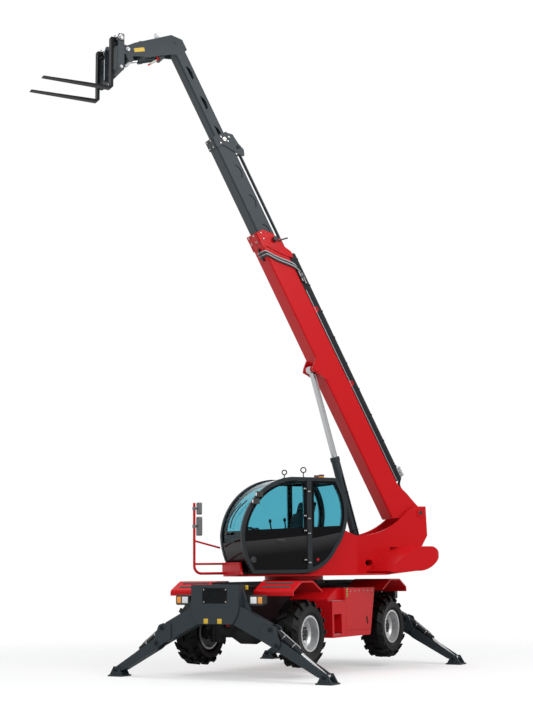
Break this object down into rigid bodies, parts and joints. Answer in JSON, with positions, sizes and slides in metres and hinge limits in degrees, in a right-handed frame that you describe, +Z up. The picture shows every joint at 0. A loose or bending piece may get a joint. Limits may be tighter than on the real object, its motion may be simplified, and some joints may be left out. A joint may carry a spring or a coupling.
{
  "type": "rotating telescopic handler",
  "caption": "Rotating telehandler on four stabilisers: slewing turret with round-backed cab, three-part boom raised with pallet forks.",
  "frame": {"origin": "on the ground, middle of the whole box in plan", "axes": "+Z up, the boxes' tallest way; +X the chassis's forward way, +Y its left"},
  "size_m": [6.9526, 5.18, 11.2884],
  "materials": {
    "red_paint": "gloss",
    "grey_paint": "satin",
    "black_paint": "gloss",
    "engine": "rough",
    "iron": "rough",
    "fork_steel": "satin",
    "rod_chrome": "polished",
    "rim_paint": "satin",
    "tyre_rubber": "matte",
    "cab_glass": "polished",
    "seat_cloth": "matte",
    "trim": "matte",
    "lamp": "gloss"
  },
  "bodies": {
    "chassis": {"chassis_frame": "grey_paint", "front_stabiliser_beam": "grey_paint", "rear_stabiliser_beam": "grey_paint", "front_axle": "iron", "rear_axle": "iron", "fenders": "red_paint", "side_pod": "red_paint", "engine_hood": "red_paint", "engine_block": "engine", "road_lamps": "lamp"},
    "turret": {"turret_frame": "red_paint", "counterweight": "red_paint", "cab_frame": "grey_paint", "cab_shell": "black_paint", "cab_sides": "black_paint", "cab_glass": "cab_glass", "cab_seat": "seat_cloth", "cab_console": "trim", "guard_rail": "red_paint", "service_hood": "red_paint", "cab_fairing": "red_paint", "turret_lamps": "lamp", "mirrors": "black_paint"},
    "door": {"cab_door": "black_paint", "door_glass": "cab_glass"},
    "boom_base": {"boom_outer": "red_paint", "hose_rail": "grey_paint"},
    "boom_middle": {"boom_mid": "grey_paint"},
    "boom_tip": {"boom_inner": "grey_paint"},
    "lift_piston": {"lift_rod": "rod_chrome"},
    "lift_cylinder": {"lift_barrel": "grey_paint"},
    "carriage": {"fork_carriage": "grey_paint", "forks": "fork_steel"},
    "tilt_cylinder": {"tilt_barrel": "grey_paint"},
    "tilt_piston": {"tilt_rod": "rod_chrome"},
    "steer_fl": {"knuckle_fl": "iron"},
    "wheel_fl": {"tyre_fl": "tyre_rubber", "rim_fl": "rim_paint"},
    "stand_fl": {"leg_fl": "grey_paint"},
    "stand_cylinder_fl": {"leg_barrel_fl": "grey_paint"},
    "stand_piston_fl": {"leg_rod_fl": "rod_chrome"},
    "steer_fr": {"knuckle_fr": "iron"},
    "wheel_fr": {"tyre_fr": "tyre_rubber", "rim_fr": "rim_paint"},
    "stand_fr": {"leg_fr": "grey_paint"},
    "stand_cylinder_fr": {"leg_barrel_fr": "grey_paint"},
    "stand_piston_fr": {"leg_rod_fr": "rod_chrome"},
    "steer_rl": {"knuckle_rl": "iron"},
    "wheel_rl": {"tyre_rl": "tyre_rubber", "rim_rl": "rim_paint"},
    "stand_rl": {"leg_rl": "grey_paint"},
    "stand_cylinder_rl": {"leg_barrel_rl": "grey_paint"},
    "stand_piston_rl": {"leg_rod_rl": "rod_chrome"},
    "steer_rr": {"knuckle_rr": "iron"},
    "wheel_rr": {"tyre_rr": "tyre_rubber", "rim_rr": "rim_paint"},
    "stand_rr": {"leg_rr": "grey_paint"},
    "stand_cylinder_rr": {"leg_barrel_rr": "grey_paint"},
    "stand_piston_rr": {"leg_rod_rr": "rod_chrome"}
  },
  "joints": [
    {"name": "steer_fl", "type": "hinge", "parent": "chassis", "child": "steer_fl", "pos_m": [0.67872, 1.10936, 0.71], "axis": [0, 0, 1], "range_deg": [-35, 35]},
    {"name": "wheel_fl", "type": "hinge", "parent": "steer_fl", "child": "wheel_fl", "pos_m": [0.67872, 1.39436, 0.71], "axis": [0, 1, 0], "continuous": true},
    {"name": "steer_fr", "type": "hinge", "parent": "chassis", "child": "steer_fr", "pos_m": [0.67872, -0.29064, 0.71], "axis": [0, 0, 1], "range_deg": [-35, 35]},
    {"name": "wheel_fr", "type": "hinge", "parent": "steer_fr", "child": "wheel_fr", "pos_m": [0.67872, -0.57564, 0.71], "axis": [0, 1, 0], "continuous": true},
    {"name": "steer_rl", "type": "hinge", "parent": "chassis", "child": "steer_rl", "pos_m": [-2.32128, 1.10936, 0.71], "axis": [0, 0, 1], "range_deg": [-35, 35]},
    {"name": "wheel_rl", "type": "hinge", "parent": "steer_rl", "child": "wheel_rl", "pos_m": [-2.32128, 1.39436, 0.71], "axis": [0, 1, 0], "continuous": true},
    {"name": "steer_rr", "type": "hinge", "parent": "chassis", "child": "steer_rr", "pos_m": [-2.32128, -0.29064, 0.71], "axis": [0, 0, 1], "range_deg": [-35, 35]},
    {"name": "wheel_rr", "type": "hinge", "parent": "steer_rr", "child": "wheel_rr", "pos_m": [-2.32128, -0.57564, 0.71], "axis": [0, 1, 0], "continuous": true},
    {"name": "stand_fl", "type": "hinge", "parent": "chassis", "child": "stand_fl", "pos_m": [1.60872, 1.56436, 0.57], "axis": [-1, 0, 0], "range_deg": [-118, 0]},
    {"name": "stand_cylinder_fl", "type": "hinge", "parent": "chassis", "child": "stand_cylinder_fl", "pos_m": [1.60872, 1.45436, 0.815], "axis": [-1, 0, 0], "range_deg": [-117.6, 0.5]},
    {"name": "stand_piston_fl", "type": "slide", "parent": "stand_cylinder_fl", "child": "stand_piston_fl", "axis": [0, 0.8065, -0.5912], "range_m": [-0.4642, 0.004]},
    {"name": "stand_fr", "type": "hinge", "parent": "chassis", "child": "stand_fr", "pos_m": [1.60872, -0.74564, 0.57], "axis": [1, 0, 0], "range_deg": [-118, 0]},
    {"name": "stand_cylinder_fr", "type": "hinge", "parent": "chassis", "child": "stand_cylinder_fr", "pos_m": [1.60872, -0.63564, 0.815], "axis": [1, 0, 0], "range_deg": [-117.6, 0.5]},
    {"name": "stand_piston_fr", "type": "slide", "parent": "stand_cylinder_fr", "child": "stand_piston_fr", "axis": [0, -0.8065, -0.5912], "range_m": [-0.4642, 0.004]},
    {"name": "stand_rl", "type": "hinge", "parent": "chassis", "child": "stand_rl", "pos_m": [-3.25128, 1.56436, 0.57], "axis": [-1, 0, 0], "range_deg": [-118, 0]},
    {"name": "stand_cylinder_rl", "type": "hinge", "parent": "chassis", "child": "stand_cylinder_rl", "pos_m": [-3.25128, 1.45436, 0.815], "axis": [-1, 0, 0], "range_deg": [-117.6, 0.5]},
    {"name": "stand_piston_rl", "type": "slide", "parent": "stand_cylinder_rl", "child": "stand_piston_rl", "axis": [0, 0.8065, -0.5912], "range_m": [-0.4642, 0.004]},
    {"name": "stand_rr", "type": "hinge", "parent": "chassis", "child": "stand_rr", "pos_m": [-3.25128, -0.74564, 0.57], "axis": [1, 0, 0], "range_deg": [-118, 0]},
    {"name": "stand_cylinder_rr", "type": "hinge", "parent": "chassis", "child": "stand_cylinder_rr", "pos_m": [-3.25128, -0.63564, 0.815], "axis": [1, 0, 0], "range_deg": [-117.6, 0.5]},
    {"name": "stand_piston_rr", "type": "slide", "parent": "stand_cylinder_rr", "child": "stand_piston_rr", "axis": [0, -0.8065, -0.5912], "range_m": [-0.4642, 0.004]},
    {"name": "slew", "type": "hinge", "parent": "chassis", "child": "turret", "pos_m": [-0.82128, 0.40936, 1.56], "axis": [0, 0, 1], "continuous": true},
    {"name": "door", "type": "hinge", "parent": "turret", "child": "door", "pos_m": [0.11211, 1.23524, 2.3], "axis": [0, 0, 1], "range_deg": [0, 95]},
    {"name": "boom_lift", "type": "hinge", "parent": "turret", "child": "boom_base", "pos_m": [-2.90957, 1.76551, 2.76], "axis": [-0.5446, -0.8387, 0], "range_deg": [-65, 13]},
    {"name": "boom_middle", "type": "slide", "parent": "boom_base", "child": "boom_middle", "axis": [0.3937, -0.2557, 0.8829], "range_m": [-1.5, 2.9]},
    {"name": "boom_tip", "type": "slide", "parent": "boom_middle", "child": "boom_tip", "axis": [0.3937, -0.2557, 0.8829], "range_m": [-1.5, 2.9]},
    {"name": "lift_piston", "type": "hinge", "parent": "boom_base", "child": "lift_piston", "pos_m": [-1.16295, 0.63124, 5.35617], "axis": [-0.5446, -0.8387, 0], "range_deg": [-4.46, 1.13]},
    {"name": "lift_cylinder", "type": "slide", "parent": "lift_piston", "child": "lift_cylinder", "axis": [-0.2285, 0.1484, -0.9622], "range_m": [-1.5193, 0.3071]},
    {"name": "carriage_tilt", "type": "hinge", "parent": "boom_tip", "child": "carriage", "pos_m": [1.89602, -1.35527, 10.87], "axis": [0.5446, 0.8387, 0], "range_deg": [-80, 35]},
    {"name": "tilt_cylinder", "type": "hinge", "parent": "boom_tip", "child": "tilt_cylinder", "pos_m": [1.34249, -0.99581, 10.86], "axis": [0.5446, 0.8387, 0], "range_deg": [-6.58, 3.05]},
    {"name": "tilt_piston", "type": "slide", "parent": "tilt_cylinder", "child": "tilt_piston", "axis": [0.807, -0.5241, -0.2722], "range_m": [-0.1064, 0.2381]}
  ],
  "couplings": [
    {"joint": "steer_fr", "follows": "steer_fl", "ratio": 1},
    {"joint": "steer_rr", "follows": "steer_rl", "ratio": 1},
    {"joint": "stand_cylinder_fl", "follows": "stand_fl", "ratio": 0.99235},
    {"joint": "stand_piston_fl", "follows": "stand_fl", "m_per_rad": 0.22344},
    {"joint": "stand_cylinder_fr", "follows": "stand_fr", "ratio": 0.99235},
    {"joint": "stand_piston_fr", "follows": "stand_fr", "m_per_rad": 0.22344},
    {"joint": "stand_cylinder_rl", "follows": "stand_rl", "ratio": 0.99235},
    {"joint": "stand_piston_rl", "follows": "stand_rl", "m_per_rad": 0.22344},
    {"joint": "stand_cylinder_rr", "follows": "stand_rr", "ratio": 0.99235},
    {"joint": "stand_piston_rr", "follows": "stand_rr", "m_per_rad": 0.22344},
    {"joint": "boom_tip", "follows": "boom_middle", "ratio": 1},
    {"joint": "lift_piston", "follows": "boom_lift", "ratio": 0.064},
    {"joint": "lift_cylinder", "follows": "boom_lift", "m_per_rad": 1.3357},
    {"joint": "tilt_cylinder", "follows": "carriage_tilt", "ratio": 0.078518},
    {"joint": "tilt_piston", "follows": "carriage_tilt", "m_per_rad": -0.16767}
  ]
}
